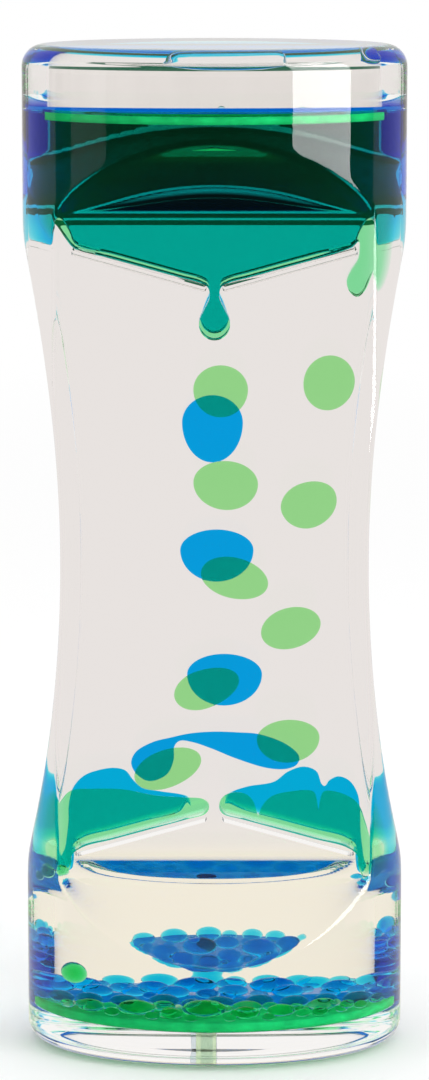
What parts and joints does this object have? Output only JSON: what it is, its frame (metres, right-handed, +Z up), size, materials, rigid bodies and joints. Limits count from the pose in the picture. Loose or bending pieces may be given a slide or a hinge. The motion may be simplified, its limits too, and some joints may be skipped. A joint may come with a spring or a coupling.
{
  "type": "liquid motion timer",
  "caption": "Clear waisted table timer with two sealed chambers, in which dyed drops sink from an upper funnel past sloping ramps to the floor.",
  "frame": {"origin": "middle of the underside, on the surface that the timer stands on", "axes": "+Z up along the vessel, +X across its wide faces to the right, front face towards -Y"},
  "size_m": [0.0564, 0.039, 0.15],
  "materials": {
    "clear_acrylic": "polished, clear",
    "green_liquid": "dyed liquid, clear",
    "blue_liquid": "dyed liquid, clear",
    "green_pin": "translucent",
    "blue_pin": "translucent"
  },
  "bodies": {
    "vessel": {"divider_plate": "clear_acrylic", "front_shell": "clear_acrylic", "front_fill_pin": "green_pin", "front_floor_layer": "green_liquid", "front_upper_pool": "green_liquid", "front_upper_left_ramp": "clear_acrylic", "front_lower_left_ramp": "clear_acrylic", "front_left_roof_pool": "green_liquid", "front_upper_right_ramp": "clear_acrylic", "front_lower_right_ramp": "clear_acrylic", "front_right_roof_pool": "green_liquid", "rear_shell": "clear_acrylic", "rear_fill_pin": "blue_pin", "rear_floor_layer": "blue_liquid", "rear_upper_pool": "blue_liquid", "rear_upper_left_ramp": "clear_acrylic", "rear_lower_left_ramp": "clear_acrylic", "rear_left_roof_pool": "blue_liquid", "rear_upper_right_ramp": "clear_acrylic", "rear_lower_right_ramp": "clear_acrylic", "rear_right_roof_pool": "blue_liquid", "front_drop_5": "green_liquid", "rear_ribbon": "blue_liquid"},
    "front_drop_1": {"front_drop_1": "green_liquid"},
    "front_drop_2": {"front_drop_2": "green_liquid"},
    "front_drop_3": {"front_drop_3": "green_liquid"},
    "front_drop_4": {"front_drop_4": "green_liquid"},
    "front_side_drop_1": {"front_side_drop_1": "green_liquid"},
    "front_side_drop_2": {"front_side_drop_2": "green_liquid"},
    "front_side_drop_3": {"front_side_drop_3": "green_liquid"},
    "front_side_drop_4": {"front_side_drop_4": "green_liquid"},
    "rear_drop_1": {"rear_drop_1": "blue_liquid"},
    "rear_drop_2": {"rear_drop_2": "blue_liquid"},
    "rear_drop_3": {"rear_drop_3": "blue_liquid"}
  },
  "joints": [
    {"name": "front_drop_1_fall", "type": "slide", "parent": "vessel", "child": "front_drop_1", "axis": [0.065, 0, -0.9979], "range_m": [0, 0.012]},
    {"name": "front_drop_2_fall", "type": "slide", "parent": "vessel", "child": "front_drop_2", "axis": [0.07, 0, -0.9975], "range_m": [0, 0.012]},
    {"name": "front_drop_3_fall", "type": "slide", "parent": "vessel", "child": "front_drop_3", "axis": [-0.269, 0, -0.9631], "range_m": [0, 0.012]},
    {"name": "front_drop_4_fall", "type": "slide", "parent": "vessel", "child": "front_drop_4", "axis": [-0.406, 0, -0.9139], "range_m": [0, 0.0048]},
    {"name": "front_side_drop_1_fall", "type": "slide", "parent": "vessel", "child": "front_side_drop_1", "axis": [-0.1761, 0, -0.9844], "range_m": [0, 0.012]},
    {"name": "front_side_drop_2_fall", "type": "slide", "parent": "vessel", "child": "front_side_drop_2", "axis": [-0.125, 0, -0.9922], "range_m": [0, 0.012]},
    {"name": "front_side_drop_3_fall", "type": "slide", "parent": "vessel", "child": "front_side_drop_3", "axis": [-0.019, 0, -0.9998], "range_m": [0, 0.012]},
    {"name": "front_side_drop_4_fall", "type": "slide", "parent": "vessel", "child": "front_side_drop_4", "axis": [0, 0, -1], "range_m": [0, 0.00396]},
    {"name": "rear_drop_1_fall", "type": "slide", "parent": "vessel", "child": "rear_drop_1", "axis": [0.031, 0, -0.9995], "range_m": [0, 0.012]},
    {"name": "rear_drop_2_fall", "type": "slide", "parent": "vessel", "child": "rear_drop_2", "axis": [0.058, 0, -0.9983], "range_m": [0, 0.012]},
    {"name": "rear_drop_3_fall", "type": "slide", "parent": "vessel", "child": "rear_drop_3", "axis": [0, 0, -1], "range_m": [0, 0.00336]}
  ],
  "couplings": [
    {"joint": "front_drop_2_fall", "follows": "front_drop_1_fall", "ratio": 1},
    {"joint": "front_drop_3_fall", "follows": "front_drop_1_fall", "ratio": 1},
    {"joint": "front_drop_4_fall", "follows": "front_drop_1_fall", "ratio": 0.4},
    {"joint": "front_side_drop_2_fall", "follows": "front_side_drop_1_fall", "ratio": 1},
    {"joint": "front_side_drop_3_fall", "follows": "front_side_drop_1_fall", "ratio": 1},
    {"joint": "front_side_drop_4_fall", "follows": "front_side_drop_1_fall", "ratio": 0.33},
    {"joint": "rear_drop_2_fall", "follows": "rear_drop_1_fall", "ratio": 1},
    {"joint": "rear_drop_3_fall", "follows": "rear_drop_1_fall", "ratio": 0.28}
  ]
}
